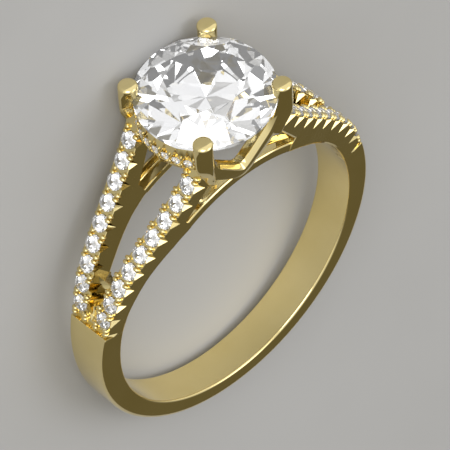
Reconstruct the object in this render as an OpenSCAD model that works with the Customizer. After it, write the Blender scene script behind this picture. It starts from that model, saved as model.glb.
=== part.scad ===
// Split shank ring: a round centre stone held by four prongs over an open
// basket, on a hoop that divides into four arms set with small stones.
// It lies on its side, as such a ring rests by itself on a table.

/* [Finger hole and hoop] */
// Diameter of the finger hole
finger_d = 16.5; // [15.7:0.1:17.3]
// Thickness of the hoop at the palm
palm_t = 1.15; // [1:0.05:1.4]
// Width of the hoop at the palm
palm_w = 2.15; // [1.9:0.05:2.4]
// Thickness of the hoop where the small stones end
end_t = 1.35; // [1.3:0.05:1.45]
// Width of the hoop where the small stones end
end_w = 2.66; // [2.5:0.02:2.8]
// Angle between the head and the place where the small stones end
end_deg = 75; // [74:1:76]

/* [Centre stone] */
// Diameter of the centre stone
centre_d = 7.6; // [7.2:0.1:7.7]
// Height of its girdle above the middle of the finger hole
girdle_z = 13.6; // [13.5:0.1:13.9]

/* [Arms] */
// Small stones on each of the four arms
arm_stones = 9; // [5:1:9]
// Diameter of a small stone
small_d = 1; // [0.9:0.02:1]
// Distance between neighbouring small stones
pitch = 1.17; // [1.15:0.01:1.18]
// Distance along the arm from its upper end to the first small stone
first_stone = 1.37; // [1.3:0.01:1.4]
// Thickness of an arm at its stones
arm_top_t = 1.1; // [1.06:0.02:1.16]
// Thickness of an arm at the finger hole
arm_low_t = 1.04; // [0.96:0.02:1.1]
// Depth of the notches cut down the arm's sides between its stones
notch_depth = 0.86; // [0.6:0.02:0.9]

/* [Basket] */
// Width of a prong
prong_w = 1.13; // [1.07:0.02:1.15]
// Stones on each of the two gallery bars
gallery_stones = 7; // [5:1:7]
// Diameter of a gallery stone
gallery_d = 0.5; // [0.4:0.02:0.52]

/* [Hidden] */
ROWS = ["left_front", "left_back", "right_front", "right_back"];
SIDES = ["left", "right"];

GOLD = "#d9bf66";
STONE = "#e8edf2";

finger_r = finger_d / 2;
centre_r = centre_d / 2;
gap = 0.05;

// The arm's upper line in the hoop's own plane, as the control points of one
// curve: across from the head's axis, then up from the finger's axis.
arm_line = [[3.07, 12.33], [4.75, 8.74], [8.87, 6.58], [9.27, 2.45]];
// How far the middle of an arm stands from the hoop's mid plane, by distance
// across: along the stones, then along the finger hole.
top_spread = [[3.0, 2.38], [8.66, 1.07], [9.27, 0.78]];
low_spread = [[3.7, 1.67], [4.7, 1.56], [5.5, 1.4], [6.3, 1.21], [7, 1.07], [8, 0.81]];
// The window under each arm: its upper corner at the prong and its low tip.
window_top = [2.47, 2.08, 10.6];
window_tip = [3.85, 1.66, 8.3];

// Rail that carries the basket over the finger, from side to side.
rail_in = 1.13;
rail_out = 2.18;
rail_top_r = 8.87;
rail_face_r = 8.72;
rail_hollow_r = 8.45;
rail_deg = 27;

// The basket's V bar, on each side of the head: height of its lowest points.
vee_low_z = 8.85;
vee_top_z = 9.86;
vee_t = 1.2;
vee_face = 2.49;
vee_lean = 0.22;
vee_half = 2.55;

// Prong sections: height, distance of the middle from the head's axis both
// ways, share of the full width, and roundness of the outline, 1 for a circle.
// Each section has one flat face outwards from the head's axis.
PRONG = [
    [10.3, 2.34, 0.8, 0.65],
    [11.1, 2.46, 0.98, 0.65],
    [12.5, 2.8, 1, 0.65],
    [13.7, 2.84, 1, 0.7],
    [14.15, 2.83, 0.97, 1],
    [14.42, 2.82, 0.92, 1]
];

// Metal round the finger starts this far inside the hole, before it is bored.
bore_stock = 0.15;
bore_in = finger_r - bore_stock;

// The ring rests on the widest sections of two prongs and on the hoop's side.
touch = PRONG[2];
touch_y = touch[1] + prong_w * touch[2] * pow(cos(45), touch[3] + 1);
rest_tilt = atan((touch_y - palm_w / 2) / (touch[0] + finger_r + palm_t));

// Plain helpers

function unit(v) = v / norm(v);
function mix(a, b, t) = a + (b - a) * t;
function polar(r, deg) = [r * sin(deg), r * cos(deg)];
function curve(p, t) = pow(1 - t, 3) * p[0] + 3 * pow(1 - t, 2) * t * p[1]
    + 3 * (1 - t) * t * t * p[2] + pow(t, 3) * p[3];

// Joins closed rings of points, all of one length, into a solid.
module loft(rings) {
    n = len(rings[0]);
    last = len(rings) - 1;
    points = [for (ring = rings) each ring];
    sides = [for (k = [0:last - 1]) for (j = [0:n - 1])
        [k * n + j, (k + 1) * n + j, (k + 1) * n + (j + 1) % n, k * n + (j + 1) % n]];
    near_end = [for (j = [0:n - 1]) j];
    far_end = [for (j = [n - 1:-1:0]) last * n + j];
    polyhedron(points, concat(sides, [near_end, far_end]), convexity = 8);
}

// Turns a shape drawn round the Z axis so that it goes round the finger's
// axis, with its X axis towards the right shoulder and its Y axis to the head.
module round_finger() {
    rotate([90, 0, 0]) children();
}

// Lays the ring on its side, so that its palm edge and two prongs touch down.
module rest() {
    rotate([rest_tilt - 90, 0, 0]) children();
}

// Cut stones

// Round brilliant with its table at z = 0, all sizes as shares of the diameter.
module brilliant(d, table = 0.56, crown = 0.14, girdle = 0.03, pavilion = 0.42) {
    r = d / 2;
    table_r = table * r;
    girdle_top = -crown * d;
    girdle_low = girdle_top - girdle * d;
    culet_z = girdle_low - pavilion * d;
    half = cos(22.5);
    star_r = (table_r * half + r) / 2;
    star_z = girdle_top * (star_r * half - table_r) / (r - table_r);
    lower_r = 0.24 * r;
    lower_z = girdle_low + (culet_z - girdle_low) * (r - lower_r * half) / r;
    points = concat(
        [for (i = [0:7]) [table_r * cos(45 * i), table_r * sin(45 * i), 0]],
        [for (i = [0:7]) [star_r * cos(45 * i + 22.5), star_r * sin(45 * i + 22.5), star_z]],
        [for (i = [0:15]) [r * cos(22.5 * i), r * sin(22.5 * i), girdle_top]],
        [for (i = [0:15]) [r * cos(22.5 * i), r * sin(22.5 * i), girdle_low]],
        [for (i = [0:7]) [lower_r * cos(45 * i + 22.5), lower_r * sin(45 * i + 22.5), lower_z]],
        [[0, 0, culet_z]]
    );
    star = 8;
    top = 16;
    low = 32;
    under = 48;
    faces = concat(
        [[for (i = [7:-1:0]) i]],
        [for (i = [0:7]) [i, (i + 1) % 8, star + i]],
        [for (i = [0:7]) [i, star + i, top + 2 * i, star + (i + 7) % 8]],
        [for (i = [0:7]) [star + i, top + 2 * i + 1, top + 2 * i]],
        [for (i = [0:7]) [star + i, top + (2 * i + 2) % 16, top + 2 * i + 1]],
        [for (i = [0:15]) [top + i, top + (i + 1) % 16, low + (i + 1) % 16, low + i]],
        [for (i = [0:7]) [low + 2 * i, low + 2 * i + 1, under + i]],
        [for (i = [0:7]) [low + 2 * i + 1, low + (2 * i + 2) % 16, under + i]],
        [for (i = [0:7]) [low + 2 * i, under + i, under + 8, under + (i + 7) % 8]]
    );
    polyhedron(points, faces, convexity = 2);
}

// Row of stones along an arm

row_steps = 60;
row_points = [for (i = [0:row_steps]) curve(arm_line, i / row_steps)];
row_length = [for (
    i = 0, s = 0;
    i <= row_steps;
    s = s + norm(row_points[min(i + 1, row_steps)] - row_points[i]), i = i + 1
) [s, i / row_steps]];
arm_length = row_length[row_steps][0];

function row_at(s) = curve(arm_line, lookup(s, row_length));
function row_along(s) = unit(row_at(min(s + 0.05, arm_length)) - row_at(max(s - 0.05, 0)));
function stone_at(i) = first_stone + (i - 1) * pitch;
// The arm's place at s: across, towards the back, up.
function arm_middle(s) = let (p = row_at(s)) [p[0], lookup(p[0], top_spread), p[1]];
function arm_up(s) = let (d = row_along(s)) [-d[1], 0, d[0]];

// Low edge of the arm at s: the window's slope near the head, and further on
// the finger hole.
window_s = 3.4;
function low_deg(s) = mix(atan2(window_tip[0], window_tip[2]) - 1, end_deg,
    (s - window_s) / (arm_length - window_s));
function bore_low(s) = let (p = polar(bore_in, low_deg(s))) [p[0], lookup(p[0], low_spread), p[1]];
function arm_low(s) = s < window_s ? mix(window_top, window_tip, max(s - 0.3, 0) / (window_s - 0.3))
    : mix(window_tip, bore_low(s), min((s - window_s) / 0.15, 1));

// Shape of the arm's top, by phase: 0 at a stone, 1 at the next stone towards
// the palm. Beads stand midway between two stones. A notch runs down each side
// of the arm, on the head's side of every stone.
function phase_of(s) = let (k = (s - first_stone) / pitch) k - floor(k);
bead_y = 0.47;
bead_shape = [[0, -0.4], [0.25, -0.33], [0.5, 0.08], [0.75, -0.33], [1, -0.4]];
wall_shape = [[0, -0.55], [0.25, -0.42], [0.5, -0.2], [0.75, -notch_depth], [1, -0.55]];
floor_shape = [[0, -0.74], [0.25, -0.56], [0.5, -0.4], [0.75, -0.56], [1, -0.74]];
wall_low = -0.98;

function arm_ring(s) = let (
    mid = arm_middle(s),
    up = arm_up(s),
    low = arm_low(s),
    phase = phase_of(s),
    side = arm_top_t / 2,
    under = arm_low_t / 2,
    half = [
        [side, wall_low],
        [side, lookup(phase, wall_shape)],
        [bead_y, lookup(phase, bead_shape)]
    ]
) concat(
    [low + [0, under, 0]],
    [for (p = half) mid + [0, p[0], 0] + p[1] * up],
    [mid + lookup(phase, floor_shape) * up],
    [for (k = [len(half) - 1:-1:0]) mid - [0, half[k][0], 0] + half[k][1] * up],
    [low - [0, under, 0]]
);

// One arm, on the right shoulder and to the back.
module arm() {
    steps = 4;
    rings = [for (k = [-steps:arm_stones * steps - 1]) arm_ring(stone_at(1) + k / steps * pitch)];
    last = arm_ring(arm_length);
    root = 0.3;
    end_way = row_along(arm_length);
    loft(concat(rings, [last, [for (p = last) p + root * [end_way[0], 0, end_way[1]]]]));
}

// Hoop

// The hoop's outside is a round about a point a little nearer to the head, and
// its side faces lean outwards from the palm to the shoulders.
hoop_shift = (end_t - palm_t) / (1 + cos(end_deg));
hoop_r = finger_r + palm_t + hoop_shift;
hoop_edge = 0.2;
end_z = (finger_r + end_t) * cos(end_deg);
far = 20;

module hoop() {
    half = end_w / 2;
    palm_z = -finger_r - palm_t;
    intersection() {
        round_finger() translate([0, hoop_shift, 0]) rotate_extrude($fn = 180) polygon([
            [bore_in - 1, -half],
            [hoop_r - hoop_edge, -half],
            [hoop_r, -half + hoop_edge],
            [hoop_r, half - hoop_edge],
            [hoop_r - hoop_edge, half],
            [bore_in - 1, half]
        ]);
        rotate([90, 0, 90]) linear_extrude(2 * far, center = true) polygon([
            [-palm_w / 2, palm_z - 1],
            [palm_w / 2, palm_z - 1],
            [palm_w / 2, palm_z],
            [half, end_z],
            [-half, end_z],
            [-palm_w / 2, palm_z]
        ]);
        rotate([90, 0, 0]) linear_extrude(far, center = true) polygon([
            [0, 0],
            far * [sin(end_deg), cos(end_deg)],
            far * [1, -1],
            far * [-1, -1],
            far * [-sin(end_deg), cos(end_deg)]
        ]);
    }
}

// Fills the fork of a shoulder, a little below the stones.
fork_deg = 63.5;
fork_low_r = 9.03;
fork_top_r = 9.36;
fork_half = 0.9;
fork_crest_half = 0.28;
module fork(side) {
    into_hoop = 1;
    round_finger() rotate([0, 0, side > 0 ? 90 - end_deg - into_hoop : 90 + fork_deg])
        rotate_extrude(angle = end_deg - fork_deg + into_hoop, $fn = 90) polygon([
            [bore_in, -fork_half],
            [fork_low_r, -fork_half],
            [fork_top_r, -fork_crest_half],
            [fork_top_r, fork_crest_half],
            [fork_low_r, fork_half],
            [bore_in, fork_half]
        ]);
}

// Basket

// Rail to the back of the head, that the V bar stands on.
module rail() {
    round_finger() rotate([0, 0, 90 - rail_deg]) rotate_extrude(angle = 2 * rail_deg, $fn = 90)
        polygon([
            [bore_in, -rail_out],
            [rail_face_r, -rail_out],
            [rail_top_r, -rail_out + 0.15],
            [rail_top_r, -rail_out + 0.28],
            [rail_hollow_r, -rail_out + 0.5],
            [rail_hollow_r, -rail_in - 0.2],
            [rail_face_r, -rail_in],
            [bore_in, -rail_in]
        ]);
}

function vee_height(x, z0, steep, bend) = z0 + sqrt(pow(x * steep, 2) + bend * bend) - bend;
function vee_outside(z) = vee_face + vee_lean * (z - 9);

function vee_ring(x) = let (
    low = vee_height(x, vee_low_z, 0.97, 0.6),
    top = vee_height(x, vee_top_z, 1.08, 0.25),
    bevel = 0.16
) [
    [x, vee_outside(low), low],
    [x, vee_outside(top) - 0.02, top - bevel],
    [x, vee_outside(top) - bevel, top],
    [x, vee_outside(top) - vee_t + bevel, top - 0.02],
    [x, vee_outside(top) - vee_t, top - bevel],
    [x, vee_outside(low) - vee_t + 0.1, low]
];

module vee() {
    loft([for (k = [-12:12]) vee_ring(vee_half * k / 12)]);
}

prong_sides = 12;
function prong_ring(row) = let (half = prong_w / 2 * row[2])
    [for (k = [0:prong_sides - 1]) let (
        a = 360 * (k + 0.5) / prong_sides,
        out = half * sign(cos(a)) * pow(abs(cos(a)), row[3]),
        aside = half * sign(sin(a)) * pow(abs(sin(a)), row[3])
    ) [
        row[1] + (out - aside) * cos(45),
        row[1] + (out + aside) * cos(45),
        row[0]
    ]];

module prong() {
    loft([for (row = PRONG) prong_ring(row)]);
}

// Bar under the stone's edge from prong to prong, with a channel for stones.
gallery_r = 3.76;
gallery_z = 12.22;
gallery_half = 0.58;
gallery_end_deg = 31;
module gallery_bar() {
    channel = gallery_d / 2 + gap;
    rotate([0, 0, -43]) rotate_extrude(angle = 86, $fn = 90) polygon([
        [3.0, gallery_z - 0.3],
        [3.35, gallery_z - gallery_half],
        [gallery_r - 0.08, gallery_z - gallery_half],
        [gallery_r, gallery_z - channel],
        [gallery_r - 0.28, gallery_z - channel],
        [gallery_r - 0.28, gallery_z + channel],
        [gallery_r, gallery_z + channel],
        [gallery_r - 0.14, gallery_z + 1],
        [gallery_r - 0.4, gallery_z + 1]
    ]);
}

// Room that the centre stone needs, a little larger than the stone.
module centre_room() {
    r = centre_r + gap;
    rotate_extrude($fn = 64) polygon([
        [0, girdle_z - 3.5],
        [r, girdle_z - 0.22],
        [r, girdle_z + 0.06],
        [0.5 * r, girdle_z + 1.3],
        [0, girdle_z + 1.3]
    ]);
}

// Sub-parts

// Arms, basket and rails as one closed form, before the finger hole is bored.
module cast_top() {
    resize([0, 0, 0]) difference() {
        union() {
            for (side = [-1, 1]) fork(side);
            for (across = [0, 1]) mirror([across, 0, 0]) {
                gallery_bar();
                for (back = [0, 1]) mirror([0, back, 0]) {
                    arm();
                    prong();
                }
            }
            for (back = [0, 1]) mirror([0, back, 0]) {
                vee();
                mirror([0, 1, 0]) rail();
            }
        }
        centre_room();
    }
}

module shank_and_head() {
    color(GOLD) rest() difference() {
        union() {
            hoop();
            cast_top();
        }
        round_finger() cylinder(r = finger_r, h = far, center = true, $fn = 180);
    }
}

centre_crown = 0.15;
module centre_stone() {
    color(STONE) rest() translate([0, 0, girdle_z + centre_crown * centre_d])
        rotate([0, 0, 45]) brilliant(centre_d, 0.57, centre_crown, 0.022, 0.43);
}

module arm_stone(row, i) {
    s = stone_at(i);
    up = arm_up(s);
    color(STONE) rest()
        mirror([row < 2 ? 1 : 0, 0, 0]) mirror([0, row % 2 == 0 ? 1 : 0, 0])
            translate(arm_middle(s)) rotate([0, atan2(up[0], up[2]), 0]) brilliant(small_d);
}

module gallery_stone_row(side) {
    step = 2 * gallery_end_deg / (gallery_stones - 1);
    color(STONE) rest() mirror([side == 0 ? 1 : 0, 0, 0])
        for (k = [0:gallery_stones - 1])
            rotate([0, 0, k * step - gallery_end_deg])
                translate([gallery_r + 0.03, 0, gallery_z]) rotate([0, 90, 0]) brilliant(gallery_d);
}

shank_and_head();
centre_stone();
for (row = [0:3]) for (i = [1:arm_stones])
    arm_stone(row, i);
for (side = [0:1])
    gallery_stone_row(side);
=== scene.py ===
"""Looks of a split shank ring that lies on its side: a round centre stone in
four prongs over an open basket, and four arms set with small stones.

Shapes are drawn as in the part's source, in millimetres, with the finger
hole's axis along Y and the head towards Z, and then laid down and scaled.
"""
import math

import bmesh
import bpy
from mathutils import Matrix, Vector


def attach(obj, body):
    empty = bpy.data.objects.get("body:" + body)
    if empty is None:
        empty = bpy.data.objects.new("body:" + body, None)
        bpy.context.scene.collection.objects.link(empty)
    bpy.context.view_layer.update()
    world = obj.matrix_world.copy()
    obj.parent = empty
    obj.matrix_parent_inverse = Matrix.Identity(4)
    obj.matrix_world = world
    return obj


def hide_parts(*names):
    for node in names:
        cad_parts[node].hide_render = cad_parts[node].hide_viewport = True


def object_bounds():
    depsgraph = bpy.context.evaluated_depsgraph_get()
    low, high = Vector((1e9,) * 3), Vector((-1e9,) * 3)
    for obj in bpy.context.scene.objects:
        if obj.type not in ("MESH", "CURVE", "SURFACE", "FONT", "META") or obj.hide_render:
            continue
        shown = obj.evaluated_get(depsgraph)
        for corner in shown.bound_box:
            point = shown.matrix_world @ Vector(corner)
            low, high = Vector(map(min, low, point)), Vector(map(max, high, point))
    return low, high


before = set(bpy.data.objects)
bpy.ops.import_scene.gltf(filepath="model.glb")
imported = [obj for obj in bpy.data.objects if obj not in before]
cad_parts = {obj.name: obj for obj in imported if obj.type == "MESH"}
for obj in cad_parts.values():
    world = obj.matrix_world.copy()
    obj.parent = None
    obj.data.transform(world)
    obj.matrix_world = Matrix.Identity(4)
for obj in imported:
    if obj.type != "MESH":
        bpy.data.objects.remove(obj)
cad_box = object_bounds()
MM = 0.001

# Sizes of the metal and the stones, in millimetres and degrees. Most are those of the part's
# source. The window and the rails are a little off it, and the V bars 0.35 mm thinner.
FINGER_R = 8.25
# The hoop's thickness and width at the palm, and at its ends, that far round from the head
PALM_T = 1.15
PALM_W = 2.15
END_T = 1.35
END_W = 2.66
END_DEG = 75
# The centre stone. Its crown, girdle, pavilion and table are shares of its width.
CENTRE_D = 7.6
GIRDLE_Z = 13.6
CROWN = 0.15
GIRDLE_T = 0.022
PAVILION = 0.43
TABLE = 0.57
# The small stones along an arm
PITCH = 1.17
FIRST_STONE = 1.37
ARM_STONES = 9
# An arm's width at its top and its low side, the curve of its top (out to the side, height), and
# how far front and back its middle lies at a place out to the side
ARM_TOP = 1.1
ARM_LOW = 1.04
ARM_LINE = [(3.07, 12.33), (4.75, 8.74), (8.87, 6.58), (9.27, 2.45)]
TOP_SPREAD = [(3.0, 2.38), (8.66, 1.07), (9.27, 0.78)]
LOW_SPREAD = [(3.7, 1.67), (4.7, 1.56), (5.5, 1.4), (6.3, 1.21), (7, 1.07), (8, 0.81)]
# The open window between an arm and the basket: its slope's two ends, and where along the arm
# they lie
WINDOW_TOP = Vector((2.5, 2.25, 10.6))
WINDOW_TIP = Vector((3.87, 1.79, 8.35))
WINDOW_FROM_S = 0.3
WINDOW_S = 3.4
ARM_LIP = 0.15
# A prong's rows: height, distance of its middle from each side of the head's axis, width as a
# share of PRONG_W, and how round it is
PRONG_W = 1.13
PRONG = [
    (10.3, 2.34, 0.8, 0.65),
    (11.1, 2.46, 0.98, 0.65),
    (12.5, 2.8, 1.0, 0.65),
    (13.7, 2.84, 1.0, 0.7),
    (14.15, 2.83, 0.97, 1.0),
    (14.42, 2.82, 0.92, 1.0),
]
# The rails under the head: how far front and back their two sides lie, the distances of their
# top edge, face and hollow from the finger hole's axis, and how far round they reach
RAIL_IN = 1.13
RAIL_OUT = 2.18
RAIL_TOP_R = 8.87
RAIL_FACE_R = 8.8
RAIL_HOLLOW_R = 8.45
RAIL_DEG = 25.1
# The V bars between the prongs: heights of their lower and upper point, thickness, how far
# front and back their face lies and how much it leans, and half their length
VEE_LOW_Z = 9.05
VEE_TOP_Z = 9.86
VEE_T = 0.85
VEE_FACE = 2.54
VEE_LEAN = 0.12
VEE_HALF = 2.55
# The gallery bars under the centre stone's sides: distance of their face from the head's axis,
# height of their stones, depth below and rise above that, and how far round they reach
GALLERY_R = 3.76
GALLERY_Z = 12.22
GALLERY_HALF = 0.58
GALLERY_RISE = 1.0
GALLERY_DEG = 43
# Their stones: width, how many, the angle of the last one and the angle from one to the next
GALLERY_D = 0.5
GALLERY_STONES = 7
GALLERY_END = 31
GALLERY_STEP = 2 * GALLERY_END / (GALLERY_STONES - 1)

# Sizes of the finish, in millimetres
HOOP_BORE_EDGE = 0.13
HOOP_EDGE = [(75, 0.08), (90, 0.24), (115, 0.42), (180, 0.48)]
HOOP_BEVEL = 0.09
ARM_EDGE = 0.13
# Where the middle of an arm's rounded corner lies from both its sides, as a share of its radius
ARC_MIDDLE = 0.29
ARM_BRIM_EDGE = 0.03
ARM_BRIM = -0.22
# The room for a small stone: rows of its radius and height from the stone's edge
SEAT = [(0.02, -0.72), (0.3, -0.45), (0.52, -0.2), (0.52, 0.4)]
RAIL_RIM = 0.13
# A V bar's lower and upper edge: how steep it is, how softly it bends, and how it curves up
VEE_LOW_LINE = (0.97, 0.6, 0.0)
VEE_TOP_LINE = (1.08, 0.25, 1.25)
VEE_CURVE_FROM = 1.6
VEE_BEVEL = 0.28
VEE_FACE_MOST = 3.0
STONE_GAP = 0.03
PRONG_LOW_Z = 10.75
PRONG_DOME = 0.22
PRONG_BEVEL = 0.07
# The plane that slants off a prong's lower end, from its outer corner towards the gallery bar
PRONG_CUT_FROM = Vector((3.6, 2.8, 13.2))
PRONG_CUT_WAY = Vector((2.616, -2.616, -1.0))
# A fork at angles from the head: its top, the root of the valley between its two arms, and the
# half width of that valley
FORK = [
    (57, 9.55, 1.5, 0.67),
    (60, 9.54, 3.0, 0.57),
    (62, 9.52, 5.5, 0.47),
    (64, 9.5, 7.9, 0.37),
    (65.5, 9.48, 8.6, 0.31),
    (68, 9.45, 9.0, 0.27),
    (71, 9.42, 9.3, 0.22),
    (73, 9.4, 9.41, 0.15),
    (76, 9.37, 9.38, 0.05),
]
FORK_HALF = 0.75
# Grooves at a small stone: the inner end of the valley, and on the arm's wall its tip and the
# two upper corners. Each is along the arm towards the palm, out from the middle, and up.
WIDE_GROOVE = ((-0.1, 0.25, -0.12), (-0.1, -0.84), (0.36, 0.02), (-0.5, 0.02))
NARROW_GROOVE = ((-0.49, 0.2, -0.02), (-0.5, -0.45), (-0.44, 0.05), (-0.55, 0.05))
# The root of the notch over a gallery stone, its two lower corners and its tip: each is along
# the row in stones, out from the bar's face, and up from the stone
GALLERY_NOTCH = ((0, -0.27, 0.24), (-0.4, 0, 0.2), (0.4, 0, 0.2), (0, -0.12, 0.9))
# Slopes of the centre stone's smaller facets from its table's plane, in degrees
STAR_SLOPE = 20
UPPER_HALF_SLOPE = 41
LOWER_HALF_SLOPE = 42.6
# Beads: radius and length, and on an arm their places along it, out from its middle and up
ARM_BEAD_R = 0.12
ARM_BEAD_LONG = 1.6
ARM_BEAD_OUT = 0.39
ARM_BEAD_UP = -0.12
ARM_BEAD_LEAN = 0.3
ARM_BEADS_ALONG = (-0.63, -0.36)
GALLERY_BEAD_R = 0.095
GALLERY_BEAD_LONG = 1.9
GALLERY_BEAD_SINK = 0.02
GALLERY_BEADS_UP = (-0.24, 0.3)
# A bead's outline: rows of its radius and height, both in bead radii
BEAD_OUTLINE = [(0.9, -2.4), (0.95, -1.0), (1.0, 0.0), (0.92, 0.4), (0.7, 0.72), (0.38, 0.93)]

# The ring lies on the palm's lower edge and on the corners of two prongs at their widest row,
# so its axis is REST_TILT off upright. TOUCH_Y is how far front those corners are.
TOUCH_Y = PRONG[2][1] + PRONG_W * PRONG[2][2] * math.cos(math.pi / 4) ** (PRONG[2][3] + 1)
REST_TILT = math.atan((TOUCH_Y - PALM_W / 2) / (PRONG[2][0] + FINGER_R + PALM_T))
REST = Matrix.Rotation(REST_TILT - math.pi / 2, 4, "X")


def rest(point):
    """A point of the upright ring, in millimetres, on the ring as it lies, in metres."""
    return REST @ Vector(point) * MM


def add_object(name, data):
    """A new object in the scene that shows this data."""
    thing = bpy.data.objects.new(name, data)
    bpy.context.scene.collection.objects.link(thing)
    return thing


def modified_mesh(thing):
    """A new mesh of what an object's modifiers make of it."""
    depsgraph = bpy.context.evaluated_depsgraph_get()
    return bpy.data.meshes.new_from_object(thing.evaluated_get(depsgraph))


# Camera, at the photograph's angle to the ring
CAMERA_TURN = math.radians(39.793)
CAMERA_RISE = math.radians(50.818)
CAMERA_ROLL = math.radians(-4.857)
CAMERA_FAR = 125 * FINGER_R
CAMERA_ASIDE = (-0.0348 * FINGER_R, -0.2066 * FINGER_R)
SENSOR = 36
# The picture's width over the lens's focal length, both in pixels
FRAME_WIDE = 450 / 19705


def add_camera():
    towards = Vector((math.cos(CAMERA_RISE) * math.sin(CAMERA_TURN),
                      math.cos(CAMERA_RISE) * math.cos(CAMERA_TURN),
                      -math.sin(CAMERA_RISE)))
    level = towards.cross(Vector((0, 0, 1))).normalized()
    above = level.cross(towards)
    right = math.cos(CAMERA_ROLL) * level + math.sin(CAMERA_ROLL) * above
    up = math.cos(CAMERA_ROLL) * above - math.sin(CAMERA_ROLL) * level
    place = rest(-CAMERA_FAR * towards - CAMERA_ASIDE[0] * right - CAMERA_ASIDE[1] * up)
    turn = REST.to_3x3()
    axes = Matrix((turn @ right, turn @ up, turn @ -towards)).transposed().to_4x4()
    data = bpy.data.cameras.new("camera")
    data.sensor_width = SENSOR
    data.lens = SENSOR / FRAME_WIDE
    data.clip_start = 0.1
    data.clip_end = 20
    camera = add_object("camera", data)
    camera.matrix_world = Matrix.Translation(place) @ axes
    bpy.context.scene.camera = camera


add_camera()


# Meshes

def add_mesh(name, bm, material):
    """A piece from a bmesh that is drawn in the upright frame, in millimetres."""
    mesh = bpy.data.meshes.new(name)
    for vert in bm.verts:
        vert.co = rest(vert.co)
    bm.to_mesh(mesh)
    bm.free()
    mesh.materials.append(material)
    return add_object(name, mesh)


# Materials

class Sock:
    """A node socket, whose sums and products with others and with numbers add Math nodes."""

    def __init__(self, tree, socket):
        self.tree, self.socket = tree, socket

    def _math(self, operation, *values):
        node = self.tree.nodes.new("ShaderNodeMath")
        node.operation = operation
        for k, value in enumerate(values):
            if isinstance(value, Sock):
                self.tree.links.new(value.socket, node.inputs[k])
            else:
                node.inputs[k].default_value = value
        return Sock(self.tree, node.outputs[0])

    def __add__(self, other):
        return self._math("ADD", self, other)

    def __mul__(self, other):
        return self._math("MULTIPLY", self, other)

    __radd__, __rmul__ = __add__, __mul__


class ShaderTree:
    """A node tree whose nodes come from one method."""

    def __init__(self, tree, shader):
        self.tree = tree
        self.shader = tree.nodes[shader]

    def node(self, kind, settings=None, **sockets):
        node = self.tree.nodes.new(kind)
        for key, value in (settings or {}).items():
            if key == "stops":
                ramp = node.color_ramp
                while len(ramp.elements) < len(value):
                    ramp.elements.new(1)
                for element, (at, colour) in zip(ramp.elements, value):
                    element.position = at
                    element.color = colour
            else:
                setattr(node, key, value)
        for key, value in sockets.items():
            socket = node.inputs[key.replace("_", " ")]
            if isinstance(value, Sock):
                self.tree.links.new(value.socket, socket)
            else:
                socket.default_value = value
        return {out.name: Sock(self.tree, out) for out in node.outputs}

    def feed(self, socket, value):
        self.tree.links.new(value.socket, self.shader.inputs[socket])


class Finish(ShaderTree):
    """A material with a Principled shader, whose patterns lie in the piece's own coordinates."""

    def __init__(self, name, **constants):
        self.material = bpy.data.materials.new(name)
        self.material.use_nodes = True
        super().__init__(self.material.node_tree, "Principled BSDF")
        self.place = self.node("ShaderNodeTexCoord")["Object"]
        for socket, value in constants.items():
            self.shader.inputs[socket.replace("_", " ")].default_value = value


def gold_finish():
    gold = Finish("polished_yellow_gold", Metallic=1.0)
    cloud = gold.node("ShaderNodeTexNoise", Vector=gold.place, Scale=420.0, Detail=3.0)["Fac"]
    hairs = gold.node("ShaderNodeTexNoise", Vector=gold.place, Scale=5200.0, Detail=2.0)["Fac"]
    tone = gold.node("ShaderNodeValToRGB", {"stops": [
        (0.35, (0.86, 0.71, 0.33, 1)), (0.65, (0.90, 0.75, 0.37, 1))]}, Fac=cloud)["Color"]
    gold.feed("Base Color", tone)
    polish, clouding, wear = 0.05, 0.04, 0.03
    gold.feed("Roughness", polish + cloud * clouding + hairs * wear)
    scratches = gold.node("ShaderNodeBump", Height=hairs, Strength=0.02, Distance=0.00002)
    gold.feed("Normal", scratches["Normal"])
    return gold.material


def stone_finish():
    stone = Finish("clear_white_stone", IOR=2.417, Roughness=0.0)
    stone.shader.inputs["Transmission Weight"].default_value = 1.0
    # A faint painted glow lifts the stones' darkest facets, standing in for light from their many
    # inner reflections.
    stone.shader.inputs["Emission Strength"].default_value = 0.03
    haze = stone.node("ShaderNodeTexNoise", Vector=stone.place, Scale=900.0, Detail=2.0)["Fac"]
    tone = stone.node("ShaderNodeValToRGB", {"stops": [
        (0.3, (0.97, 0.98, 1.0, 1)), (0.7, (1.0, 1.0, 1.0, 1))]}, Fac=haze)["Color"]
    stone.feed("Base Color", tone)
    stone.feed("Roughness", haze * 0.012)
    return stone.material


def floor_finish():
    pale = Finish("pale_floor", Roughness=0.6)
    grain = pale.node("ShaderNodeTexNoise", Vector=pale.place, Scale=60.0, Detail=3.0)["Fac"]
    pale.feed("Base Color", pale.node("ShaderNodeValToRGB", {"stops": [
        (0.3, (0.45, 0.446, 0.438, 1)), (0.7, (0.48, 0.476, 0.468, 1))]}, Fac=grain)["Color"])
    return pale.material


GOLD = gold_finish()
STONE = stone_finish()
FLOOR = floor_finish()

for name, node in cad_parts.items():
    material = GOLD if name == "shank_and_head" else STONE
    node.data.materials.clear()
    node.data.materials.append(material)


# Shapes

def lookup(x, table):
    """Straight interpolation in rows of (x, y), flat beyond both ends."""
    if x <= table[0][0]:
        return table[0][1]
    for (x0, y0), (x1, y1) in zip(table, table[1:]):
        if x <= x1:
            return y0 + (y1 - y0) * (x - x0) / (x1 - x0)
    return table[-1][1]


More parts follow.
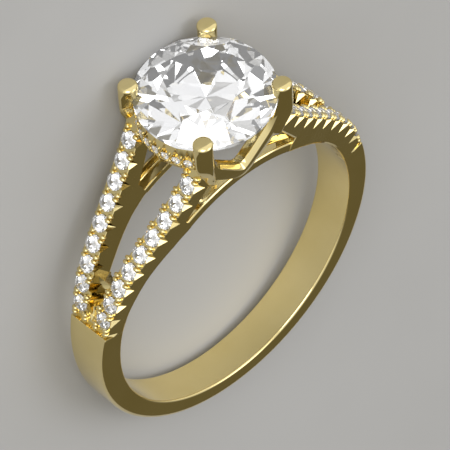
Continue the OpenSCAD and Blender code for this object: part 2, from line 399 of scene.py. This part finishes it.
def smooth_lookup(x, table):
    """Interpolation in rows of (x, y) with no corners at the rows."""
    rows = [table[0]] + list(table) + [table[-1]]
    for (xa, ya), (x0, y0), (x1, y1), (xb, yb) in zip(rows, rows[1:], rows[2:], rows[3:]):
        if x <= x1:
            t = min(max((x - x0) / (x1 - x0), 0), 1)
            slope0 = (y1 - ya) / (x1 - xa) * (x1 - x0)
            slope1 = (yb - y0) / (xb - x0) * (x1 - x0)
            return ((2 * t ** 3 - 3 * t ** 2 + 1) * y0 + (t ** 3 - 2 * t ** 2 + t) * slope0
                    + (3 * t ** 2 - 2 * t ** 3) * y1 + (t ** 3 - t ** 2) * slope1)
    return table[-1][1]


def polar(r, deg):
    return r * math.sin(math.radians(deg)), r * math.cos(math.radians(deg))


def round_angles(count):
    return [math.tau * k / count for k in range(count)]


def rounded(corners, radii, steps):
    """A closed 2-D outline with each corner turned into an arc of its own radius."""
    outline = []
    for k, (corner, radius) in enumerate(zip(corners, radii)):
        here = Vector(corner)
        back = (Vector(corners[k - 1]) - here).normalized()
        on = (Vector(corners[(k + 1) % len(corners)]) - here).normalized()
        half = back.angle(on) / 2
        centre = here + (back + on).normalized() * (radius / math.sin(half))
        start = here + back * (radius / math.tan(half)) - centre
        end = here + on * (radius / math.tan(half)) - centre
        for j in range(steps + 1):
            arc = start.lerp(end, j / steps)
            outline.append(centre + arc.normalized() * radius)
    return outline


def add_loft(bm, rings, closed=False):
    """Skins rings of equally many points, and caps the ends unless the loft closes on itself."""
    rows = [[bm.verts.new(point) for point in ring] for ring in rings]
    count = len(rows[0])
    pairs = list(zip(rows, rows[1:])) + ([(rows[-1], rows[0])] if closed else [])
    for near, far in pairs:
        for j in range(count):
            bm.faces.new((near[j], near[(j + 1) % count], far[(j + 1) % count], far[j]))
    if not closed:
        bm.faces.new(rows[0][::-1])
        bm.faces.new(rows[-1])
    bmesh.ops.recalc_face_normals(bm, faces=bm.faces)


TO_LEFT = (-1, 1)
TO_FRONT = (1, -1)


def add_mirrored(bm, flip):
    """Adds the mirror image, to the left or to the front, of all that bm holds."""
    copy = bmesh.ops.duplicate(bm, geom=bm.verts[:] + bm.edges[:] + bm.faces[:])["geom"]
    for vert in (v for v in copy if isinstance(v, bmesh.types.BMVert)):
        vert.co.x *= flip[0]
        vert.co.y *= flip[1]
    bmesh.ops.reverse_faces(bm, faces=[f for f in copy if isinstance(f, bmesh.types.BMFace)])


def mark_edges(bm, sharp_deg=30):
    """Smooth shading, with every edge that bends more than sharp_deg kept crisp."""
    sharp = math.radians(sharp_deg)
    for face in bm.faces:
        face.smooth = True
    for edge in bm.edges:
        edge.smooth = len(edge.link_faces) == 2 and edge.calc_face_angle(0) < sharp


def bevel_edges(bm, width, segments):
    """Rounds every edge that bends more than 60 degrees."""
    sharp = math.radians(60)
    edges = [e for e in bm.edges if len(e.link_faces) == 2 and e.calc_face_angle(0) > sharp]
    bmesh.ops.bevel(bm, geom=edges, offset=width, segments=segments, profile=0.5, affect="EDGES",
                    clamp_overlap=True)


def cut_away(bm, point, out, near=0.0):
    """Cuts off what lies beyond a plane, and closes the cut. A corner is on the plane if it is
    no further than near from it."""
    cut = bmesh.ops.bisect_plane(bm, geom=bm.verts[:] + bm.edges[:] + bm.faces[:], dist=near,
                                 plane_co=point, plane_no=out, clear_outer=True)["geom_cut"]
    edges = [e for e in cut if isinstance(e, bmesh.types.BMEdge)]
    if edges:
        bmesh.ops.edgeloop_fill(bm, edges=edges)


def carve(bm, *steps):
    """Joins to bm, or takes away from it, each (operation, bmesh) by a boolean modifier."""
    body = add_object("body", bpy.data.meshes.new("body"))
    bm.to_mesh(body.data)
    tools = []
    for operation, other in steps:
        tool = add_object("tool", bpy.data.meshes.new("tool"))
        other.to_mesh(tool.data)
        other.free()
        modifier = body.modifiers.new("carve", "BOOLEAN")
        modifier.operation = operation
        modifier.solver = "MANIFOLD"
        modifier.object = tool
        tools.append(tool)
    result = modified_mesh(body)
    for thing in [body] + tools:
        bpy.data.objects.remove(thing)
    bm.clear()
    bm.from_mesh(result)
    bpy.data.meshes.remove(result)


# Hoop

def hoop_section(deg):
    """The hoop's section at an angle from the head: points (distance from the axis, across)."""
    shift = (END_T - PALM_T) / (1 + math.cos(math.radians(END_DEG)))
    outer_r = FINGER_R + PALM_T + shift
    turn = math.radians(deg)
    outside = shift * math.cos(turn) + math.sqrt(outer_r ** 2 - (shift * math.sin(turn)) ** 2)
    height = outside * math.cos(turn)
    half = lookup(height, [(-FINGER_R - PALM_T, PALM_W / 2),
                           ((FINGER_R + END_T) * math.cos(math.radians(END_DEG)), END_W / 2)])
    corners = [(FINGER_R, -half), (outside, -half), (outside, half), (FINGER_R, half)]
    edge = smooth_lookup(min(deg, 360 - deg), HOOP_EDGE)
    return rounded(corners, [HOOP_BORE_EDGE, edge, edge, HOOP_BORE_EDGE], 6)


def build_hoop():
    bm = bmesh.new()
    steps = 180
    rings = []
    for k in range(steps + 1):
        deg = END_DEG + (360 - 2 * END_DEG) * k / steps
        x, z = polar(1, deg)
        rings.append([(r * x, y, r * z) for r, y in hoop_section(deg)])
    add_loft(bm, rings)
    bevel_edges(bm, HOOP_BEVEL, 2)
    mark_edges(bm)
    return add_mesh("hoop", bm, GOLD)


# Arms

def row_point(t):
    """A point of the curve of an arm's top, for t from 0 at the head to 1 at the hoop."""
    a, b, c, d = (Vector(p) for p in ARM_LINE)
    return (1 - t) ** 3 * a + 3 * (1 - t) ** 2 * t * b + 3 * (1 - t) * t * t * c + t ** 3 * d


def row_lengths():
    """Rows of (length along the arm, t)."""
    steps = 60
    table, length = [], 0
    for k in range(steps + 1):
        if k:
            length += (row_point(k / steps) - row_point((k - 1) / steps)).length
        table.append((length, k / steps))
    return table


ROW = row_lengths()
ARM_LENGTH = ROW[-1][0]


def row_at(s):
    """The arm's upper line at s, carried on straight beyond both its ends."""
    inside = min(max(s, 0), ARM_LENGTH)
    if s == inside:
        return row_point(lookup(s, ROW))
    end, near = row_point(lookup(inside, ROW)), row_point(0.01 if s < 0 else 0.99)
    return end + (end - near).normalized() * abs(s - inside)


def row_frame(s):
    """An arm's stone plane at s: its middle, the way along to the palm, and up."""
    p = row_at(s)
    along = (row_at(s + 0.05) - row_at(s - 0.05)).normalized()
    return (Vector((p.x, lookup(p.x, TOP_SPREAD), p.y)),
            Vector((along.x, 0, along.y)), Vector((-along.y, 0, along.x)))


def stone_at(i):
    """The length along an arm at its stone i."""
    return FIRST_STONE + (i - 1) * PITCH


def arm_low(s):
    """The middle of an arm's low side: the window's slope, and further on the finger hole."""
    if s < WINDOW_S:
        return WINDOW_TOP.lerp(WINDOW_TIP, max(s - WINDOW_FROM_S, 0) / (WINDOW_S - WINDOW_FROM_S))
    overlap_deg = 1
    start = math.degrees(math.atan2(WINDOW_TIP.x, WINDOW_TIP.z)) - overlap_deg
    x, z = polar(FINGER_R, start + (END_DEG - start) * (s - WINDOW_S) / (ARM_LENGTH - WINDOW_S))
    bore = Vector((x, lookup(x, LOW_SPREAD), z))
    return WINDOW_TIP.lerp(bore, min((s - WINDOW_S) / ARM_LIP, 1))


def arm_ring(s):
    """An arm's section, from its low outer corner up and over to its low inner corner."""
    middle, _, up = row_frame(s)
    low = arm_low(s)
    ring = []
    for side in (1, -1):
        foot = low + Vector((0, side * ARM_LOW / 2, 0))
        brim = middle + Vector((0, side * ARM_TOP / 2, 0)) + up * ARM_BRIM
        wall = (brim - foot).normalized()
        inwards = Vector((0, -side, 0))
        half = [foot + inwards * ARM_EDGE, foot + (inwards + wall) * ARM_EDGE * ARC_MIDDLE,
                foot + wall * ARM_EDGE, foot.lerp(brim, 0.5),
                brim - wall * ARM_BRIM_EDGE, brim + inwards * ARM_BRIM_EDGE]
        ring += half if side == 1 else half[::-1]
    return ring


def seat_tool():
    """Room for each stone of an arm: a cone for its point and a well round its edge."""
    bm = bmesh.new()
    for i in range(1, ARM_STONES + 1):
        middle, along, up = row_frame(stone_at(i))
        rings = [[middle + along * (r * math.cos(a)) + Vector((0, r * math.sin(a), 0)) + up * h
                  for a in round_angles(28)] for r, h in SEAT]
        add_loft(bm, rings)
    add_mirrored(bm, TO_FRONT)
    return bm


def wall_point(i, side, along_by, up_by):
    """A point on an arm's side wall, given from stone i along the arm and up."""
    middle, along, up = row_frame(stone_at(i))
    point = middle + along * along_by + up * up_by
    here, foot = row_frame(stone_at(i) + along_by)[0], arm_low(stone_at(i) + along_by)
    down = (ARM_BRIM - up_by) / (ARM_BRIM - (foot - here).dot(up))
    brim_y, foot_y = here.y + side * ARM_TOP / 2, foot.y + side * ARM_LOW / 2
    return Vector((point.x, brim_y + (foot_y - brim_y) * down, point.z))


def add_notch(bm, root, corners):
    """A three-sided pyramid that cuts a notch, from its root out through three corners."""
    beyond = 1.6
    apex = bm.verts.new(root)
    ring = [bm.verts.new(root + (corner - root) * beyond) for corner in corners]
    for k in range(3):
        bm.faces.new((apex, ring[k], ring[(k + 1) % 3]))
    bm.faces.new(ring[::-1])


def groove_tool(stones, root, *corners):
    """A groove in the walls of both arms of a shoulder at each of these stones, as a pyramid
    from the root of its valley out through three corners on the wall. Past the last stone only
    the outer wall has one."""
    bm = bmesh.new()
    for i in stones:
        middle, along, up = row_frame(stone_at(i))
        for side in (1, -1) if i <= ARM_STONES else (1,):
            inner_end = middle + along * root[0] + Vector((0, side * root[1], 0)) + up * root[2]
            add_notch(bm, inner_end, [wall_point(i, side, *corner) for corner in corners])
    bmesh.ops.recalc_face_normals(bm, faces=bm.faces)
    add_mirrored(bm, TO_FRONT)
    return bm


def fork(section):
    """A solid along the fork of a shoulder. section gives its points, each a distance from the
    finger's axis and a place across."""
    bm = bmesh.new()
    rings = []
    for deg, *sizes in FORK:
        x, z = polar(1, deg)
        rings.append([(r * x, y, r * z) for r, y in section(*sizes)])
    add_loft(bm, rings)
    return bm


def fork_block(top, *_):
    """The section of the metal that joins two arms."""
    return (FINGER_R, -FORK_HALF), (top, -FORK_HALF), (top, FORK_HALF), (FINGER_R, FORK_HALF)


def fork_valley(top, root, half):
    """The section of what is cut out between them, from just above the metal."""
    above = top + 0.03
    return (root, 0), (above, -half), (above, half)


def build_arms():
    bm = bmesh.new()
    first, step = -1.2, 0.15
    stops = [first + step * k for k in range(200) if first + step * k < ARM_LENGTH]
    stops = sorted(stops + [WINDOW_S, WINDOW_S + ARM_LIP, ARM_LENGTH])
    rings = [arm_ring(s) for s in stops]
    palmwards = row_frame(ARM_LENGTH)[1]
    heart = sum(rings[-1], Vector()) / len(rings[-1])
    narrower, hidden = 0.8, 0.3
    rings.append([heart.lerp(point, narrower) + palmwards * hidden for point in rings[-1]])
    add_loft(bm, rings)
    add_mirrored(bm, TO_FRONT)
    steps = [("UNION", fork(fork_block)), ("DIFFERENCE", fork(fork_valley)),
             ("DIFFERENCE", seat_tool())]
    for first_stone in (1, 2):
        wide = range(first_stone, ARM_STONES + 2, 2)
        narrow = range(first_stone, ARM_STONES + 1, 2)
        steps.append(("DIFFERENCE", groove_tool(wide, *WIDE_GROOVE)))
        steps.append(("DIFFERENCE", groove_tool(narrow, *NARROW_GROOVE)))
    carve(bm, *steps)
    mark_edges(bm, sharp_deg=12)
    add_mirrored(bm, TO_LEFT)
    return add_mesh("arms", bm, GOLD)


# Basket

def revolved(bm, outline, from_deg, to_deg, steps, place):
    """Turns a 2-D outline through an arc. place gives a point from the outline's two numbers and
    the angle."""
    add_loft(bm, [[place(a, b, from_deg + (to_deg - from_deg) * k / steps) for a, b in outline]
                  for k in range(steps + 1)])


def build_rails():
    bm = bmesh.new()
    bevel, rim, hollow_out, hollow_in = 0.06, 0.16, 0.3, 0.2
    corners = [(FINGER_R, -RAIL_OUT), (RAIL_FACE_R, -RAIL_OUT), (RAIL_TOP_R, -RAIL_OUT + bevel),
               (RAIL_TOP_R, -RAIL_OUT + rim), (RAIL_HOLLOW_R, -RAIL_OUT + hollow_out),
               (RAIL_HOLLOW_R, -RAIL_IN - hollow_in), (RAIL_FACE_R, -RAIL_IN),
               (FINGER_R, -RAIL_IN)]
    outline = rounded(corners, [RAIL_RIM, 0.02, 0.02, 0.02, 0.1, 0.1, 0.03, RAIL_RIM], 3)

    def place(r, y, deg):
        x, z = polar(r, deg)
        return x, y, z

    revolved(bm, outline, -RAIL_DEG, RAIL_DEG, 60, place)
    mark_edges(bm)
    add_mirrored(bm, TO_FRONT)
    return add_mesh("rails", bm, GOLD)


def vee_height(x, lowest, steep, bend, rise):
    """The height of a V bar's edge: a V with a soft point, whose ends curve up into the prongs."""
    curve = max(abs(x) - VEE_CURVE_FROM, 0)
    return lowest + math.sqrt((x * steep) ** 2 + bend ** 2) - bend + rise * curve ** 2


def build_vees():
    bm = bmesh.new()
    rings = []
    steps, face_z, foot_in = 40, 9, 0.1
    for k in range(-steps, steps + 1):
        x = VEE_HALF * k / steps
        low = vee_height(x, VEE_LOW_Z, *VEE_LOW_LINE)
        top = vee_height(x, VEE_TOP_Z, *VEE_TOP_LINE)
        face_low, face_top = (min(VEE_FACE + VEE_LEAN * (z - face_z), VEE_FACE_MOST)
                              for z in (low, top))
        corners = [(face_low, low), (face_top, top - VEE_BEVEL), (face_top - VEE_BEVEL, top),
                   (face_top - VEE_T, top), (face_low - VEE_T + foot_in, low)]
        rings.append([(x, y, z) for y, z in rounded(corners, [0.05, 0.03, 0.08, 0.2, 0.05], 3)])
    add_loft(bm, rings)
    carve(bm, ("DIFFERENCE", centre_room()))
    mark_edges(bm)
    add_mirrored(bm, TO_FRONT)
    return add_mesh("vee_bars", bm, GOLD)


def prong_ring(z):
    """A prong's section: a round-cornered square with one flat face out from the head's axis."""
    aside_by, wide, soft = ([(row[0], row[column]) for row in PRONG] for column in (1, 2, 3))
    centre = smooth_lookup(z, aside_by)
    slant = math.cos(math.pi / 4)
    softness = lookup(z, soft)
    roundness = softness ** 2.2
    half = PRONG_W / 2 * lookup(z, wide) * slant ** (softness - roundness)
    ring, points = [], 48
    for k in range(points):
        a = math.tau * (k + 0.5) / points
        out = half * math.copysign(abs(math.cos(a)) ** roundness, math.cos(a))
        aside = half * math.copysign(abs(math.sin(a)) ** roundness, math.sin(a))
        ring.append((centre + (out - aside) * slant, centre + (out + aside) * slant, z))
    return ring


def centre_room():
    """The room that the centre stone needs in the metal."""
    bm = bmesh.new()
    wide, thin = CENTRE_D / 2 + STONE_GAP, 0.01
    low_z, top_z = GIRDLE_Z - 3.5, GIRDLE_Z + 1.3
    outline = [(thin, low_z), (wide, GIRDLE_Z - 0.2), (wide, GIRDLE_Z + STONE_GAP),
               (0.5 * wide, top_z), (thin, top_z)]
    add_loft(bm, [[(r * math.cos(a), r * math.sin(a), z) for r, z in outline]
                  for a in round_angles(96)], closed=True)
    return bm


def build_prongs():
    bm = bmesh.new()
    steps, dome_steps, flat = 40, 8, 0.2
    shoulder_z = PRONG[-1][0] - PRONG_DOME
    rings = [prong_ring(PRONG_LOW_Z + (shoulder_z - PRONG_LOW_Z) * k / steps)
             for k in range(steps + 1)]
    brim = [Vector(point) for point in rings[-1]]
    heart = Vector((PRONG[-1][1], PRONG[-1][1], shoulder_z))
    for k in range(1, dome_steps):
        turn = math.pi / 2 * k / dome_steps
        rise = Vector((0, 0, PRONG_DOME * math.sin(turn)))
        wide = flat + (1 - flat) * math.cos(turn)
        rings.append([heart.lerp(point, wide) + rise for point in brim])
    add_loft(bm, rings)
    cut_away(bm, PRONG_CUT_FROM, PRONG_CUT_WAY)
    bevel_edges(bm, PRONG_BEVEL, 3)
    carve(bm, ("DIFFERENCE", centre_room()))
    mark_edges(bm)
    add_mirrored(bm, TO_LEFT)
    add_mirrored(bm, TO_FRONT)
    return add_mesh("prongs", bm, GOLD)


def gallery_way(k):
    """The way out from the head's axis to gallery stone k."""
    y, x = polar(1, k * GALLERY_STEP - GALLERY_END)
    return Vector((x, y, 0))


def gallery_point(k, out, height):
    """A point at the angle of gallery stone k, out from the bar's face and up from the stone."""
    y, x = polar(GALLERY_R + out, k * GALLERY_STEP - GALLERY_END)
    return Vector((x, y, GALLERY_Z + height))


def gallery_notches():
    bm = bmesh.new()
    for k in range(GALLERY_STONES):
        root, *corners = (gallery_point(k + along, out, up) for along, out, up in GALLERY_NOTCH)
        add_notch(bm, root, corners)
    bmesh.ops.recalc_face_normals(bm, faces=bm.faces)
    return bm


def build_gallery_bars():
    bm = bmesh.new()
    channel, inner_r, channel_r = GALLERY_D / 2 + 0.05, 3.0, GALLERY_R - 0.28
    low_z, top_z = GALLERY_Z - GALLERY_HALF, GALLERY_Z + GALLERY_RISE
    corners = [(inner_r, GALLERY_Z - 0.3), (inner_r + 0.35, low_z), (GALLERY_R - 0.08, low_z),
               (GALLERY_R, GALLERY_Z - channel), (channel_r, GALLERY_Z - channel),
               (channel_r, GALLERY_Z + channel), (GALLERY_R, GALLERY_Z + channel),
               (GALLERY_R - 0.14, top_z), (GALLERY_R - 0.4, top_z)]

    def place(r, z, deg):
        y, x = polar(r, deg)
        return x, y, z

    revolved(bm, rounded(corners, [0.03] * len(corners), 2), -GALLERY_DEG, GALLERY_DEG, 48, place)
    carve(bm, ("DIFFERENCE", centre_room()), ("DIFFERENCE", gallery_notches()))
    mark_edges(bm)
    add_mirrored(bm, TO_LEFT)
    return add_mesh("gallery_bars", bm, GOLD)


# Beads that hold the small stones

def bead_shape(radius, long):
    """One bead on its short post, longer along X, with its middle at the origin and its top up."""
    mesh = bpy.data.meshes.new("bead_shape")
    size = radius * MM
    bm = bmesh.new()
    add_loft(bm, [[(r * size * long * math.cos(a), r * size * math.sin(a), h * size)
                   for a in round_angles(12)] for r, h in BEAD_OUTLINE])
    for face in bm.faces:
        face.smooth = True
    bm.to_mesh(mesh)
    bm.free()
    return bpy.data.objects.new("bead_shape", mesh)


def arm_beads():
    """Middle, upward and outward direction of each bead of the right-hand arm to the back."""
    for i in range(1, ARM_STONES + 2):
        middle, along, up = row_frame(stone_at(i))
        for side in (1, -1):
            out = Vector((0, side, 0))
            for back in ARM_BEADS_ALONG:
                if stone_at(i) + back < ARM_LENGTH:
                    place = middle + along * back + out * ARM_BEAD_OUT + up * ARM_BEAD_UP
                    yield place, up + out * ARM_BEAD_LEAN, out


def gallery_beads():
    """Middle, outward and upward direction of each bead of the right-hand gallery bar."""
    up = Vector((0, 0, 1))
    for k in range(-1, GALLERY_STONES):
        out = gallery_way(k + 0.5)
        for height in GALLERY_BEADS_UP:
            yield out * (GALLERY_R - GALLERY_BEAD_SINK) + up * (GALLERY_Z + height), out, up


def bead_nodes():
    """Geometry nodes that set the bead shape on each point, turned to the point's directions."""
    tree = bpy.data.node_groups.new("beads_on_points", "GeometryNodeTree")
    for label, kind in (("Points", "NodeSocketGeometry"), ("Bead", "NodeSocketObject"),
                        ("Finish", "NodeSocketMaterial")):
        tree.interface.new_socket(label, in_out="INPUT", socket_type=kind)
    tree.interface.new_socket("Beads", in_out="OUTPUT", socket_type="NodeSocketGeometry")
    nodes, links = tree.nodes, tree.links
    given = nodes.new("NodeGroupInput")
    shape = nodes.new("GeometryNodeObjectInfo")
    ways, turns = [], []
    for label, axis, pivot in (("top_way", "Z", "AUTO"), ("long_way", "X", "Z")):
        way = nodes.new("GeometryNodeInputNamedAttribute")
        way.data_type = "FLOAT_VECTOR"
        way.inputs["Name"].default_value = label
        turn = nodes.new("FunctionNodeAlignRotationToVector")
        turn.axis = axis
        turn.pivot_axis = pivot
        ways.append(way)
        turns.append(turn)
    place = nodes.new("GeometryNodeInstanceOnPoints")
    solid = nodes.new("GeometryNodeRealizeInstances")
    finish = nodes.new("GeometryNodeSetMaterial")
    result = nodes.new("NodeGroupOutput")
    for source, target in (
            (given.outputs["Bead"], shape.inputs["Object"]),
            (given.outputs["Points"], place.inputs["Points"]),
            (shape.outputs["Geometry"], place.inputs["Instance"]),
            (ways[0].outputs["Attribute"], turns[0].inputs["Vector"]),
            (turns[0].outputs["Rotation"], turns[1].inputs["Rotation"]),
            (ways[1].outputs["Attribute"], turns[1].inputs["Vector"]),
            (turns[1].outputs["Rotation"], place.inputs["Rotation"]),
            (place.outputs["Instances"], solid.inputs["Geometry"]),
            (solid.outputs["Geometry"], finish.inputs["Geometry"]),
            (given.outputs["Finish"], finish.inputs["Material"]),
            (finish.outputs["Geometry"], result.inputs["Beads"])):
        links.new(source, target)
    return tree


def build_beads(name, places, radius, long, flips):
    """Beads at each (middle, top way, long way) in the upright frame and at its mirror images."""
    spots = []
    for middle, *ways in places:
        for flip in flips:
            there, *ways_there = (Vector(a * b for a, b in zip(v, flip)) for v in (middle, *ways))
            spots.append([rest(there)] + [REST.to_3x3() @ way for way in ways_there])
    mesh = bpy.data.meshes.new(name)
    mesh.from_pydata([spot[0] for spot in spots], [], [])
    for column, label in enumerate(("top_way", "long_way"), 1):
        way = mesh.attributes.new(label, "FLOAT_VECTOR", "POINT")
        for k, spot in enumerate(spots):
            way.data[k].vector = spot[column]
    points = add_object(name + "_points", mesh)
    shape = bead_shape(radius, long)
    modifier = points.modifiers.new("beads", "NODES")
    modifier.node_group = BEAD_NODES
    sockets = {item.name: item.identifier for item in BEAD_NODES.interface.items_tree
               if item.in_out == "INPUT"}
    modifier[sockets["Bead"]] = shape
    modifier[sockets["Finish"]] = GOLD
    result = modified_mesh(points)
    bpy.data.objects.remove(points)
    bpy.data.objects.remove(shape)
    return add_object(name, result)


BEAD_NODES = bead_nodes()


# Centre stone

def build_centre_stone():
    """A round brilliant, ground from a disc by one plane for each of its facets."""
    r = CENTRE_D / 2
    table_z = GIRDLE_Z + CROWN * CENTRE_D
    low_z = GIRDLE_Z - GIRDLE_T * CENTRE_D
    bm = bmesh.new()
    disc_low_z = low_z - (PAVILION + 0.02) * CENTRE_D
    add_loft(bm, [[(r * math.cos(a), r * math.sin(a), z) for a in round_angles(128)]
                  for z in (disc_low_z, table_z)])

    def grind(turn, rise, distance, z):
        """Cuts off what is beyond a plane at that distance from the axis at height z."""
        x, y, level = math.cos(turn), math.sin(turn), math.cos(rise)
        out = Vector((x * level, y * level, math.sin(rise)))
        cut_away(bm, Vector((distance * x, distance * y, z)), out, 1e-5)

    table_r = TABLE * r
    crown_rise = math.atan2(r - table_r, table_z - GIRDLE_Z)
    pavilion_rise = -math.atan2(r, PAVILION * CENTRE_D)
    for turn in round_angles(8):
        grind(turn, crown_rise, r, GIRDLE_Z)
        grind(turn, pavilion_rise, r, low_z)
    star_r = table_r * math.cos(math.pi / 8)
    half_r = r * 0.998
    for turn in round_angles(8):
        grind(turn + math.pi / 8, math.radians(90 - STAR_SLOPE), star_r, table_z)
    for turn in round_angles(16):
        grind(turn + math.pi / 16, math.radians(90 - UPPER_HALF_SLOPE), half_r, GIRDLE_Z)
        grind(turn + math.pi / 16, math.radians(LOWER_HALF_SLOPE - 90), half_r, low_z)
    bmesh.ops.remove_doubles(bm, verts=bm.verts, dist=1e-4)
    bmesh.ops.recalc_face_normals(bm, faces=bm.faces)
    mark_edges(bm, sharp_deg=6)
    return add_mesh("centre_brilliant", bm, STONE)


BOTH_SIDES = [(1, 1, 1), (-1, 1, 1)]
ALL_FOUR_ARMS = BOTH_SIDES + [(1, -1, 1), (-1, -1, 1)]
metal = [
    build_hoop(), build_arms(), build_rails(), build_vees(), build_prongs(), build_gallery_bars(),
    build_beads("arm_beads", arm_beads(), ARM_BEAD_R, ARM_BEAD_LONG, ALL_FOUR_ARMS),
    build_beads("gallery_beads", gallery_beads(), GALLERY_BEAD_R, GALLERY_BEAD_LONG, BOTH_SIDES),
]
for piece in metal:
    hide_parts("shank_and_head")
    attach(piece, "root")

brilliant = build_centre_stone()
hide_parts("centre_stone")
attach(brilliant, "root")


# Floor and lights

RING_MIDDLE = Vector((0, 0.003, 0))


def add_floor():
    half = 1.2
    low = cad_box[0][2]
    mesh = bpy.data.meshes.new("floor")
    corners = [(-half, -half, low), (half, -half, low), (half, half, low), (-half, half, low)]
    mesh.from_pydata(corners, [], [(0, 1, 2, 3)])
    mesh.materials.append(FLOOR)
    add_object("floor", mesh)


def add_softbox(name, place, size, watts):
    """A square lamp turned towards the ring."""
    data = bpy.data.lights.new(name, "AREA")
    data.shape = "SQUARE"
    data.size = size
    data.energy = watts
    lamp = add_object(name, data)
    lamp.location = place
    lamp.rotation_euler = (RING_MIDDLE - Vector(place)).to_track_quat("-Z", "Y").to_euler()


add_floor()
add_softbox("overhead_softbox", (0.2, 0.14, 0.44), 0.3, 0.5)
add_softbox("front_softbox", (-0.3, 0.42, 0.34), 0.36, 1.2)
world = bpy.data.worlds.new("studio")
world.use_nodes = True
sky = ShaderTree(world.node_tree, "Background")
way = sky.node("ShaderNodeSeparateXYZ", Vector=sky.node("ShaderNodeTexCoord")["Generated"])
sky.feed("Color", sky.node("ShaderNodeValToRGB", {"stops": [
    (0.2, (0.13, 0.115, 0.07, 1)), (0.34, (0.36, 0.35, 0.33, 1)), (0.52, (0.8, 0.8, 0.79, 1)),
    (0.75, (1, 1, 1, 1))]}, Fac=0.5 + way["Y"] * 0.5)["Color"])
bpy.context.scene.world = world
bpy.context.scene.view_settings.view_transform = "Standard"
